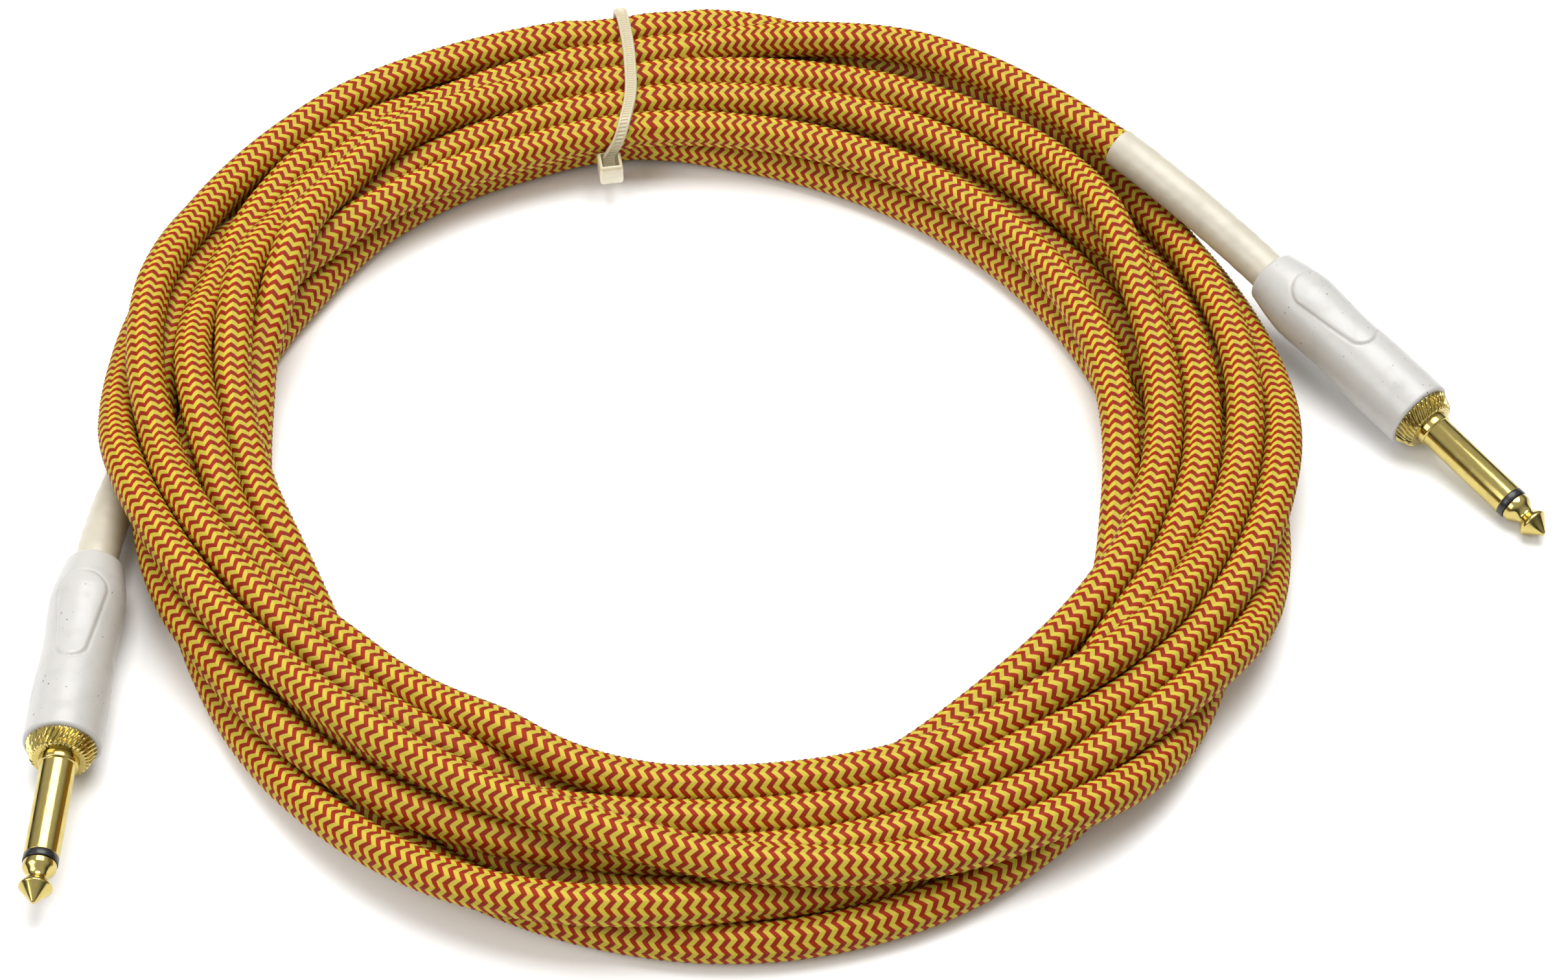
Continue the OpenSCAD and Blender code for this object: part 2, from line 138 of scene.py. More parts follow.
class CordSizes(bpy.types.PropertyGroup):
    diameter: size("Diameter", "Outside diameter of the woven cord", 0.0075, 0.006, 0.0085)
    band: size("Band", "Length of one yellow or one red band along the cord", 0.00107, 0.0008, 0.0016)
    zigzag: size("Zigzag", "How far a band swings along the cord", 0.00115, 0.0004, 0.002)
    columns: IntProperty(name="Columns", description="Columns of yarn round the cord, an even number",
                         default=16, min=8, max=24)
    crown: size("Crown", "How far a yarn's middle stands over its edges", 0.0002, 0, 0.0004)
    shrink_wall: size("Heat shrink wall", "Wall of the heat-shrink sleeve", 0.0002, 0.0001, 0.0005)
    yellow: colour("Yellow yarn", "Colour of the yellow yarn", (0.490, 0.393, 0.040))
    red: colour("Red yarn", "Colour of the red yarn", (0.250, 0.0150, 0.0010))
    cream: colour("Heat shrink", "Colour of the heat shrink", (0.530, 0.487, 0.392))


class PlugSizes(bpy.types.PropertyGroup):
    sleeve_d: size("Sleeve diameter", "Diameter of the sleeve contact", 0.00635, 0.005, 0.008)
    neck_d: size("Neck diameter", "Diameter of the turned neck", 0.0072, 0.0068, 0.0078)
    tip_d: size("Tip diameter", "Diameter of the tip at its widest", 0.0060, 0.0054, 0.0062)
    groove_d: size("Groove diameter", "Diameter of the tip's groove", 0.0037, 0.0034, 0.0044)
    collar_front_d: size("Collar front", "Diameter of the collar's front face", 0.0096, 0.0084, 0.0104)
    collar_d: size("Collar", "Diameter of the collar at the handle", 0.0122, 0.0114, 0.0126)
    collar_bore_d: size("Collar bore", "Bore of the collar round the neck", 0.0073, 0.007, 0.008)
    rib_count: IntProperty(name="Ribs", description="Ribs round the collar", default=36, min=24, max=48)
    rib_h: size("Rib height", "Height of the collar's ribs", 0.00045, 0.0001, 0.0005)
    handle_rear_d: size("Handle rear", "Diameter of the handle at the cable", 0.0108, 0.0104, 0.012)
    handle_belly_d: size("Handle belly", "Diameter of the handle's belly", 0.0141, 0.0134, 0.015)
    handle_waist_d: size("Handle waist", "Diameter of the handle's waist", 0.0134, 0.013, 0.014)
    handle_front_d: size("Handle front", "Diameter of the handle at the collar", 0.0142, 0.0136, 0.015)
    pad_l: size("Pad length", "Length of the thumb pad", 0.0200, 0.014, 0.024)
    pad_w: size("Pad width", "Width of the thumb pad at its round end", 0.0086, 0.006, 0.009)
    pad_t: size("Pad height", "How far the thumb pad stands proud", 0.0003, 0.0001, 0.0005)
    gold: colour("Gold plate", "Colour of the gold plate", (0.570, 0.455, 0.150))
    white: colour("Handle", "Colour of the moulded handle", (0.495, 0.486, 0.462))


class TieSizes(bpy.types.PropertyGroup):
    strap_w: size("Strap width", "Width of the tie's strap", 0.0025, 0.0018, 0.0048)
    strap_t: size("Strap thickness", "Thickness of the tie's strap", 0.0011, 0.0008, 0.0014)
    head_w: size("Head width", "Width of the tie's head", 0.0049, 0.004, 0.007)
    head_h: size("Head height", "Height of the tie's head", 0.0046, 0.0035, 0.006)
    head_t: size("Head depth", "How far the head stands off the bundle", 0.0042, 0.003, 0.006)
    tooth: size("Tooth spacing", "Spacing of the strap's teeth", 0.0007, 0.0004, 0.0015)
    nylon: colour("Nylon", "Colour of the tie", (0.640, 0.580, 0.400))


# ---- materials ----

class Value:
    """A socket of a material's nodes. Arithmetic on it adds Math nodes."""

    def __init__(self, finish, socket):
        self.finish, self.socket = finish, socket

    def _math(self, operation, *values):
        return self.finish.node("ShaderNodeMath", {"operation": operation}, dict(enumerate(values)))

    def __add__(self, other):
        return self._math("ADD", self, other)

    def __mul__(self, other):
        return self._math("MULTIPLY", self, other)

    __radd__, __rmul__ = __add__, __mul__

    def above(self, low, high):
        """0 under low, 1 over high, and eased between them."""
        return self.finish.node("ShaderNodeMapRange", {"interpolation_type": "SMOOTHSTEP"},
                                {"Value": self, "From Min": low, "From Max": high})


class Nodes:
    """Adds nodes to a tree and links them."""

    def __init__(self, tree):
        self.tree = tree

    def node(self, kind, settings, inputs, output=0):
        made = self.tree.nodes.new(kind)
        for key, value in settings.items():
            setattr(made, key, value)
        for key, value in inputs.items():
            self.set(made.inputs[key], value)
        return Value(self, made.outputs[output])

    def set(self, socket, value):
        if isinstance(value, Value):
            self.tree.links.new(value.socket, socket)
        else:
            socket.default_value = value


class Finish(Nodes):
    """A material with one Principled shader, its plain settings, and the nodes that vary it."""

    def __init__(self, name, base, roughness, **settings):
        self.material = bpy.data.materials.new(name)
        self.material.use_nodes = True
        self.material.diffuse_color = (*base, 1)
        super().__init__(self.material.node_tree)
        self.shader = self.tree.nodes["Principled BSDF"]
        self.shader.inputs["Base Color"].default_value = (*base, 1)
        self.shader.inputs["Roughness"].default_value = roughness
        for socket, value in settings.items():
            self.shader.inputs[socket.replace("_", " ")].default_value = value

    def feed(self, name, value):
        self.set(self.shader.inputs[name], value)

    def noise(self, scale, detail):
        """Noise over the object, with so many grains in a metre."""
        at = self.node("ShaderNodeTexCoord", {}, {}, "Object")
        return self.node("ShaderNodeTexNoise", {}, {"Vector": at, "Scale": scale, "Detail": detail})

    def mix(self, factor, a, b):
        """Colour a where the factor is 0 and colour b where it is 1."""
        return self.node("ShaderNodeMix", {"data_type": "RGBA"}, {0: factor, 6: (*a, 1), 7: (*b, 1)}, 2)

    def bump(self, height, strength, distance):
        normal = self.node("ShaderNodeBump", {}, {"Strength": strength, "Distance": distance,
                                                  "Height": height})
        self.feed("Normal", normal)


def shade(base, factor):
    return tuple(min(1.0, c * factor) for c in base)


def yarn(name, base):
    finish = Finish(name, base, 0.6, Specular_IOR_Level=0.18)
    finish.bump(finish.noise(2600, 3), 0.5, 0.00012)
    return finish.material


def heat_shrink_finish(base):
    finish = Finish("heat shrink", base, 0.42, Subsurface_Weight=0.08, Subsurface_Scale=0.001)
    grime = finish.noise(160, 4).above(0.42, 0.75)
    finish.feed("Base Color", finish.mix(grime, base, shade(base, 0.9)))
    finish.feed("Roughness", 0.36 + 0.16 * grime)
    finish.bump(finish.noise(700, 2), 0.25, 0.0002)
    return finish.material


def handle_finish(base):
    """Moulded white plastic, a little worn, with small dark specks."""
    finish = Finish("moulded handle", base, 0.38, Subsurface_Weight=0.08, Subsurface_Scale=0.0015)
    wear = finish.noise(220, 5).above(0.45, 0.8)
    specks = finish.noise(1500, 1).above(0.75, 0.775)
    worn = finish.mix(wear, base, shade(base, 0.9))
    spotted = finish.node("ShaderNodeMix", {"data_type": "RGBA"},
                          {0: specks, 6: worn, 7: (0.10, 0.085, 0.07, 1)}, 2)
    finish.feed("Base Color", spotted)
    finish.feed("Roughness", 0.32 + 0.2 * wear)
    finish.bump(finish.noise(900, 2), 0.12, 0.0002)
    return finish.material


def gold_finish(base):
    finish = Finish("gold plate", base, 0.16, Metallic=1.0)
    smear = finish.noise(420, 3).above(0.3, 0.8)
    finish.feed("Base Color", finish.mix(smear, base, shade(base, 0.82)))
    finish.feed("Roughness", 0.12 + 0.14 * smear)
    return finish.material


def nylon_finish(base):
    finish = Finish("tie nylon", base, 0.3, Subsurface_Weight=0.35, Subsurface_Scale=0.002,
                    Transmission_Weight=0.25, IOR=1.45)
    finish.feed("Roughness", 0.22 + 0.2 * finish.noise(500, 2))
    return finish.material


def plain_plastic(name, base, roughness=0.4):
    finish = Finish(name, base, roughness)
    mottle = finish.noise(600, 3)
    finish.feed("Roughness", roughness - 0.06 + 0.12 * mottle)
    finish.bump(mottle, 0.1, 0.0001)
    return finish.material


def plain_metal(name, base, roughness=0.25):
    finish = Finish(name, base, roughness, Metallic=1.0)
    finish.feed("Roughness", roughness - 0.08 + 0.16 * finish.noise(900, 3))
    return finish.material


def once(name, make, *args):
    """The material of that name, made the first time it is asked for."""
    return bpy.data.materials.get(name) or make(*args)


# ---- meshes ----

def add_piece(name, points, faces, materials, replaces=(), face_slots=None, sharp=40):
    """A smooth-shaded mesh piece that rides on the root body."""
    mesh = bpy.data.meshes.new(name)
    points, faces = np.asarray(points, float), np.asarray(faces, np.int32)
    corners = faces.shape[1]
    mesh.vertices.add(len(points))
    mesh.vertices.foreach_set("co", points.ravel())
    mesh.loops.add(faces.size)
    mesh.loops.foreach_set("vertex_index", faces.ravel())
    mesh.polygons.add(len(faces))
    mesh.polygons.foreach_set("loop_start", np.arange(0, faces.size, corners, dtype=np.int32))
    mesh.polygons.foreach_set("use_smooth", np.ones(len(faces), bool))
    for material in materials:
        mesh.materials.append(material)
    if face_slots is not None:
        mesh.polygons.foreach_set("material_index", np.asarray(face_slots, np.int32))
    mesh.update(calc_edges=True)
    mesh.validate()
    if sharp:
        mesh.set_sharp_from_angle(angle=radians(sharp))
    piece = bpy.data.objects.new(name, mesh)
    bpy.context.scene.collection.objects.link(piece)
    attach(piece, "root")
    if replaces:
        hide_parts(*replaces)
    return piece


def grid_faces(rings, sides, closed_rings=False):
    """Quads between rings of vertices. closed_rings joins the last ring to the first."""
    ring = np.arange(rings if closed_rings else rings - 1)[:, None]
    side = np.arange(sides)[None, :]
    after, beside = (ring + 1) % rings, (side + 1) % sides
    quads = np.stack((ring * sides + side, ring * sides + beside,
                      after * sides + beside, after * sides + side), -1)
    return quads.reshape(-1, 4)


def plug_way(key):
    heading, droop = (radians(v) for v in PLUGS[key][1:])
    return np.array((cos(droop) * cos(heading), cos(droop) * sin(heading), -sin(droop)))


def plug_axes(key):
    """The plug's own x, y and z axes, x towards its tip, as rows."""
    heading, droop = (radians(v) for v in PLUGS[key][1:])
    return np.array((plug_way(key), (-sin(heading), cos(heading), 0.0),
                     (sin(droop) * cos(heading), sin(droop) * sin(heading), cos(droop))))


def along_plug(key, place):
    return np.array(PLUGS[key][0]) + place * plug_way(key)


def turned(name, key, outline, material, sides=96, radius=None, replaces=(), sharp=40):
    """A piece turned round a plug's axis, from a closed outline of (place, radius) points.

    radius(place, turn, base) may change the radius round the piece.
    """
    place, base = np.array(outline, float).T
    turn = np.linspace(0, 2 * pi, sides, endpoint=False)
    x = np.repeat(place[:, None], sides, 1)
    r = np.repeat(base[:, None], sides, 1)
    if radius:
        r = radius(x, turn[None, :], r)
    local = np.stack((x, r * np.sin(turn), r * np.cos(turn)), -1).reshape(-1, 3)
    points = np.array(PLUGS[key][0]) + local @ plug_axes(key)
    faces = grid_faces(len(outline), sides, closed_rings=True)
    return add_piece(name, points, faces, [material], replaces=replaces, sharp=sharp)


def arc(centre, radius, start, end, steps=5):
    """(place, radius) points of an arc between two angles in degrees, 0 towards +place."""
    return [(centre[0] + radius * cos(radians(a)), centre[1] + radius * sin(radians(a)))
            for a in np.linspace(start, end, steps)]


def eased(t):
    return (1 - np.cos(pi * np.clip(t, 0, 1))) / 2


# ---- the cord's route ----

def polar(points, lap):
    """(angle in degrees, radius, height) of points seen from the middle of the coil."""
    out = []
    for x, y, z in points:
        dx, dy = x - COIL_AT[0], y - COIL_AT[1]
        out.append((np.degrees(np.arctan2(dy, dx)) % 360 + 360 * lap, np.hypot(dx, dy), z))
    return out


def winding_keys(diameter):
    """Angle, radius and height of each key of the winding, from plug b round to plug a."""
    layer = diameter * sqrt(3) / 2
    ends = {key: [tuple(along_plug(key, place)) for place in (HANDLE_REAR, CORD_END)] for key in PLUGS}
    keys = polar(list(LEAD_B) + ends["b"], 0)[::-1]
    angle = FIRST_KEY
    for radii, layers in TURNS:
        for radius, height in zip(radii, layers):
            keys.append((angle, radius, diameter / 2 + layer * height))
            angle += KEY_EVERY
    return np.array(keys + polar(list(LEAD_A) + ends["a"], LAST_LAP))


def hermite(at, values, where):
    """A smooth curve through values given at some places, read at other places."""
    slope = np.gradient(values, at)
    i = np.clip(np.searchsorted(at, where, side="right") - 1, 0, len(at) - 2)
    span = at[i + 1] - at[i]
    u = (where - at[i]) / span
    return ((1 + 2 * u) * (1 - u) ** 2 * values[i] + u * (1 - u) ** 2 * span * slope[i]
            + u * u * (3 - 2 * u) * values[i + 1] + u * u * (u - 1) * span * slope[i + 1])


WIND_STEP = 2.0        # degrees between the points of the winding
FREE_FROM, FREE_TO = 90, 3400   # degrees of winding that may settle; the leads stay as laid
FREE_EASE = 14         # degrees over which it becomes free

# in each round the keys pull, the curves are smoothed and the turns push each other apart
ROUNDS = 260
PULL, LATE_PULL, PULL_UNTIL = 0.06, 0.02, 0.6
EASE, LATE_EASE, EASE_UNTIL = 0.35, 0.18, 0.7
SINK = 0.02            # mm in a round
SMOOTH_HALF = 12       # points on each side
RADIUS_BELL, HEIGHT_BELL = 4.0, 2.5
PUSHES, PUSH = 2, 0.45
BESIDE = 3             # points on each side of the nearest one that a turn is kept clear of
NEARLY_NONE = 1e-9

TIE_REACH = 3          # degrees on either side of the tie that it holds together
TIE_FUNNEL = 0.5       # mm more room for each degree past that
UNDERSIDE_FADE = 14    # degrees past the tie at which the bundle is down on the floor
AIR_BESIDE, AIR_ABOVE = 0.00015, 0.0001   # between the bundle and the strap


def bell(width):
    weights = np.exp(-0.5 * (np.arange(-SMOOTH_HALF, SMOOTH_HALF + 1) / width) ** 2)
    return weights / weights.sum()


def smoothed(values, weights):
    ends = (np.full(SMOOTH_HALF, values[0]), values, np.full(SMOOTH_HALF, values[-1]))
    return np.convolve(np.concatenate(ends), weights, "valid")


def wind(diameter):
    """The cord's centreline: the keyed turns, settled under their own weight and pushed apart."""
    keys = winding_keys(diameter)
    angle = np.arange(keys[0, 0], keys[-1, 0] + 1e-6, WIND_STEP)
    half = diameter / 2
    radius = hermite(keys[:, 0], keys[:, 1], angle)
    height = np.maximum(hermite(keys[:, 0], keys[:, 2], angle), half)
    want_radius, want_height = radius.copy(), height.copy()
    free = np.clip(np.minimum(angle - FREE_FROM, FREE_TO - angle) / FREE_EASE, 0, 1)
    cos_a, sin_a = np.cos(np.radians(angle)), np.sin(np.radians(angle))
    per_turn = int(360 / WIND_STEP)
    past_tie = np.maximum(np.abs((angle - TIE_ANGLE + 180) % 360 - 180) - TIE_REACH, 0)
    room = TIE_LOOP_W / 2 - AIR_BESIDE - half + past_tie * TIE_FUNNEL * MM
    lowest, highest = TIE_RADIUS - room, TIE_RADIUS + room
    floor = half + BUNDLE_UNDERSIDE * (1 - eased(past_tie / UNDERSIDE_FADE))
    ceiling = TIE_Z + TIE_LOOP_H / 2 - AIR_ABOVE - half + past_tie * TIE_FUNNEL * MM
    for step in range(ROUNDS):
        pull = PULL if step < ROUNDS * PULL_UNTIL else LATE_PULL
        ease = EASE if step < ROUNDS * EASE_UNTIL else LATE_EASE
        radius += pull * (want_radius - radius) * free
        height += (pull * (want_height - height) - SINK * MM) * free
        radius += ease * (smoothed(radius, bell(RADIUS_BELL)) - radius) * free
        height += ease * (smoothed(height, bell(HEIGHT_BELL)) - height) * free
        for _ in range(PUSHES):
            push_r, push_z = np.zeros_like(radius), np.zeros_like(height)
            x, y = radius * cos_a, radius * sin_a
            for turn in range(1, LAST_LAP + 1):
                for beside in range(-BESIDE, BESIDE + 1):
                    apart = per_turn * turn + beside
                    if apart >= len(angle):
                        continue
                    a, b = slice(0, len(angle) - apart), slice(apart, len(angle))
                    dr, dz = radius[b] - radius[a], height[b] - height[a]
                    gap = np.sqrt((x[b] - x[a]) ** 2 + (y[b] - y[a]) ** 2 + dz ** 2)
                    over = np.maximum(diameter - gap, 0)
                    share = (PUSH * over / (np.hypot(dr, dz) + NEARLY_NONE)
                             / (free[a] + free[b] + NEARLY_NONE))
                    push_r[a] -= share * dr * free[a]
                    push_z[a] -= share * dz * free[a]
                    push_r[b] += share * dr * free[b]
                    push_z[b] += share * dz * free[b]
            radius += push_r
            height += push_z
            height = np.where(free > 0, np.clip(height, floor, ceiling), height)
            radius = np.where(free > 0, np.clip(radius, lowest, highest), radius)
    return np.stack((COIL_AT[0] + radius * cos_a, COIL_AT[1] + radius * sin_a, height), -1)


class Route:
    """A smooth curve through points, by length, with frames that don't twist."""

    def __init__(self, points):
        self.at = np.r_[0, np.cumsum(np.linalg.norm(np.diff(points, axis=0), axis=1))]
        self.points = points
        self.length = self.at[-1]

    def place(self, s):
        return np.stack([hermite(self.at, self.points[:, i], s) for i in range(3)], -1)

    def nearest(self, point):
        """The length along the route at which it passes closest to a point."""
        return self.at[np.argmin(np.linalg.norm(self.points - point, axis=1))]

    def frames(self, s):
        """Places, ways and two square directions at each length s."""
        p = self.place(s)
        way = np.gradient(p, axis=0)
        way /= np.linalg.norm(way, axis=1)[:, None]
        side = np.empty_like(way)
        side[0] = np.cross((0, 0, 1), way[0])
        side[0] /= np.linalg.norm(side[0])
        for i in range(1, len(s)):
            v = side[i - 1] - way[i] * (side[i - 1] @ way[i])
            side[i] = v / sqrt(v @ v)
        return p, way, side, np.cross(way, side)


def ring_points(centre, way, side, up, radius, shift, sides):
    """Rings of vertices: radius and shift along the way are given for each vertex."""
    turn = np.linspace(0, 2 * pi, sides, endpoint=False)
    out = side[:, None, :] * np.cos(turn)[None, :, None] + up[:, None, :] * np.sin(turn)[None, :, None]
    return (centre[:, None, :] + out * radius[:, :, None] + way[:, None, :] * shift[:, :, None])


# ---- operators ----

ROUTE = {}   # the wound route, shared by the cord and the heat shrinks


def cord_route(scene):
    if "cord" not in ROUTE:
        ROUTE["cord"] = Route(wind(scene.cord_sizes.diameter))
    return ROUTE["cord"]


SEAM_DEPTH = 0.7       # of the crown, between two columns of yarn


class CABLE_OT_weave_cord(bpy.types.Operator):
    """Winds the cord and weaves its zigzag jacket"""
    bl_idname = "cable.weave_cord"
    bl_label = "Weave the cord"
    bl_options = {"REGISTER", "UNDO"}

    def execute(self, context):
        scene = context.scene
        sizes = scene.cord_sizes
        route = cord_route(scene)
        sides = 2 * sizes.columns
        rows = 4   # rings in a yellow and a red band together: an edge and a middle of each
        count = int(route.length / (2 * sizes.band)) * rows + 1
        s = np.linspace(0, route.length, count)
        p, way, side, up = route.frames(s)
        swing = np.array((-0.5, 0, 0.5, 0))[np.arange(sides) % 4] * sizes.zigzag
        shift = np.repeat(swing[None, :], count, 0)
        shift[s < sizes.zigzag] = 0
        shift[s > route.length - sizes.zigzag] = 0
        edge = (np.arange(count) % 2 == 0)[:, None] * sizes.crown
        seam = (np.arange(sides) % 2 == 0)[None, :] * sizes.crown * SEAM_DEPTH
        radius = sizes.diameter / 2 - edge - seam
        points = ring_points(p, way, side, up, radius, shift, sides).reshape(-1, 3)
        faces = grid_faces(count, sides)
        row = np.repeat(np.arange(count - 1), sides) % rows
        column = np.tile(np.arange(sides), count - 1)
        # alternate columns of yarn, those that slope the other way, take the painted-shade copy of their
        # colour
        slots = np.where(row < 2, 0, 2) + (column // 2) % 2
        # each yarn colour in two copies: painted light, a little lighter, and painted shade, a little
        # darker
        yarns = [once(name, yarn, name, shade(base, factor)) for name, base, factor in (
            ("yellow yarn", sizes.yellow, 1.08), ("yellow yarn, other way", sizes.yellow, 0.90),
            ("red yarn", sizes.red, 1.15), ("red yarn, other way", sizes.red, 0.85))]
        cord = add_piece("woven_cord", points, faces, yarns,
                         replaces=("cable_coil", "cable_lead_a", "cable_lead_b"),
                         face_slots=slots, sharp=0)
        carried = ["shrink_sleeve_a", "shrink_sleeve_b"]
        for key in PLUGS:
            carried += [f"moulded_handle_{key}", f"collar_{key}", f"plug_sleeve_{key}",
                        f"plug_ring_{key}", f"plug_tip_{key}"]
        return {"FINISHED"}


class CABLE_OT_shrink_sleeves(bpy.types.Operator):
    """Shrinks a cream sleeve over each end of the woven jacket"""
    bl_idname = "cable.shrink_sleeves"
    bl_label = "Heat-shrink sleeves"
    bl_options = {"REGISTER", "UNDO"}

    def execute(self, context):
        scene = context.scene
        sizes = scene.cord_sizes
        route = cord_route(scene)
        material = once("heat shrink", heat_shrink_finish, sizes.cream)
        for key, lead in (("a", LEAD_A), ("b", LEAD_B)):
            open_end = route.nearest(np.array(lead[-SHRINK_POINTS[key]]))
            mouth = route.nearest(along_plug(key, HANDLE_REAR))
            inner = mouth + SHRINK_IN * (1 if mouth > open_end else -1)
            self.sleeve(sizes, route, key, open_end, inner, material)
        return {"FINISHED"}

    def sleeve(self, sizes, route, key, open_end, inner, material):
        """A thin tube whose outline runs out along the outside and back along the inside."""
        sides, steps = 48, 120
        air = 0.00001
        lip_h, lip_l = 0.00012, 0.0006
        wave_h, short_wave, long_wave = 0.00004, 0.0041, 0.0173
        edge_h, edge_l = 0.00008, 0.00015
        outer = sizes.diameter / 2 + sizes.shrink_wall
        bore = sizes.diameter / 2 + air
        s = np.linspace(open_end, inner, steps)
        turn = np.linspace(0, 2 * pi, sides, endpoint=False)[None, :]
        p, way, side, up = route.frames(s)
        far = np.abs(s - open_end)[:, None]
        lip = lip_h * np.exp(-(far / lip_l) ** 2)
        wave = (wave_h * np.sin(far * 2 * pi / short_wave + turn)
                * np.sin(far * 2 * pi / long_wave + 2 * turn))
        rounding = np.clip(1 - far / edge_l, 0, 1) * edge_h
        outside = outer + lip + wave - rounding
        inside = np.full((steps, sides), bore)
        no_shift = np.zeros((steps, sides))
        shell = np.concatenate((ring_points(p, way, side, up, outside, no_shift, sides),
                                ring_points(p, way, side, up, inside, no_shift, sides)[::-1]))
        faces = grid_faces(2 * steps, sides, closed_rings=True)
        add_piece(f"shrink_sleeve_{key}", shell.reshape(-1, 3), faces, [material],
                  replaces=(f"heat_shrink_{key}",), sharp=50)


SHRINK_AIR = 0.00002              # between the heat shrink and the handle
MOULD_R, JACKET_R = 0.00492, 0.00292   # the inner mould and the cord's inner jacket
BORE_INSET = 0.00028              # the handle's bore, in from the collar's outer radius
BODY_STEP = 0.00025               # between two rings of the handle
BODY_END = 0.0001                 # the rings stop that much before the front rounding
BELLY_AT, WAIST_AT, FRONT_AT = 0.225, 0.47, 0.78   # shares of the handle's length
PAD_REAR = 0.0066                 # from the handle's cable end to the thumb pad
PAD_TAPER = 0.62                  # the pad's small end against its big one
PAD_EDGE = 0.0007                 # how far the pad's edge is rounded
LINE_BESIDE, LINE_W, LINE_DEPTH = 0.00035, 0.00022, 0.00013   # the moulded line round it


class CABLE_OT_mould_handles(bpy.types.Operator):
    """Moulds the white handle of each plug, with its thumb pad"""
    bl_idname = "cable.mould_handles"
    bl_label = "Moulded handles"
    bl_options = {"REGISTER", "UNDO"}

    def execute(self, context):
        scene = context.scene
        sizes = scene.plug_sizes
        material = once("moulded handle", handle_finish, sizes.white)
        shrink_r = scene.cord_sizes.diameter / 2 + scene.cord_sizes.shrink_wall + SHRINK_AIR
        for key in PLUGS:
            turned(f"moulded_handle_{key}", key, self.outline(sizes, shrink_r), material,
                   sides=160, radius=self.with_pad(sizes),
                   replaces=(f"handle_{key}",), sharp=50)
        return {"FINISHED"}

    def outline(self, sizes, shrink_r):
        rear_round, front_round = 0.0011, 0.0006
        rear, front = self.body_radius(sizes, rear_round), sizes.handle_front_d / 2
        bore = sizes.collar_d / 2 - BORE_INSET
        s = np.arange(rear_round + BODY_STEP, HANDLE_L - front_round - BODY_END, BODY_STEP)
        body = [(HANDLE_REAR + at, self.body_radius(sizes, at)) for at in s]
        return ([(CORD_END, shrink_r), (HANDLE_REAR, shrink_r)]
                + arc((HANDLE_REAR + rear_round, rear - rear_round), rear_round, 180, 90, 8)
                + body
                + arc((HANDLE_FRONT - front_round, front - front_round), front_round, 90, 0, 7)
                + [(HANDLE_FRONT, bore), (COLLAR_TAIL, bore), (COLLAR_TAIL, MOULD_R),
                   (MOULD_REAR, MOULD_R), (MOULD_REAR, JACKET_R), (CORD_END, JACKET_R)])

    def body_radius(self, sizes, s):
        """The handle's radius at a length from its cable end: rear, belly, waist and front."""
        belly, waist, front = (HANDLE_L * share for share in (BELLY_AT, WAIST_AT, FRONT_AT))
        if s < belly:
            t = s / belly
            a, b, share = sizes.handle_rear_d, sizes.handle_belly_d, (t + sin(pi / 2 * t)) / 2
        elif s < waist:
            a, b = sizes.handle_belly_d, sizes.handle_waist_d
            share = eased((s - belly) / (waist - belly))
        else:
            a, b = sizes.handle_waist_d, sizes.handle_front_d
            share = eased((s - waist) / (front - waist))
        return (a + (b - a) * share) / 2

    def with_pad(self, sizes):
        """A radius rule that raises the thumb pad, with a fine moulded line round it."""
        rear = HANDLE_REAR + PAD_REAR
        big = sizes.pad_w / 2
        small = big * PAD_TAPER
        outside_r, clear_of_rear = 0.0055, 0.002
        c0, c1 = rear + big, rear + sizes.pad_l - small

        def radius(x, turn, base):
            y = base * np.sin(turn)
            on_top = (np.cos(turn) > 0) & (base > outside_r) & (x > HANDLE_REAR + clear_of_rear)
            t = np.clip((x - c0) / (c1 - c0), 0, 1)
            nearest_x = c0 + t * (c1 - c0)
            inside = (big + (small - big) * t) - np.hypot(x - nearest_x, y)
            raised = eased(inside / PAD_EDGE + 0.5)
            line = np.exp(-((inside + LINE_BESIDE) / LINE_W) ** 2)
            return base + on_top * (sizes.pad_t * raised - LINE_DEPTH * line)

        return radius


SLEEVE_BORE_R, ROD_R = 0.0022, 0.00115
BEAD_AT, GROOVE_AT, CONE_AT = 0.11, 0.38, 0.62   # shares of the tip's length
TIP_EDGE = 0.0003                 # rounding of the bead and of the cone's rim
NOSE_R, ROD_DEPTH = 0.0006, 0.0024
ON_AXIS = 0.00001                 # a radius that all but closes the nose


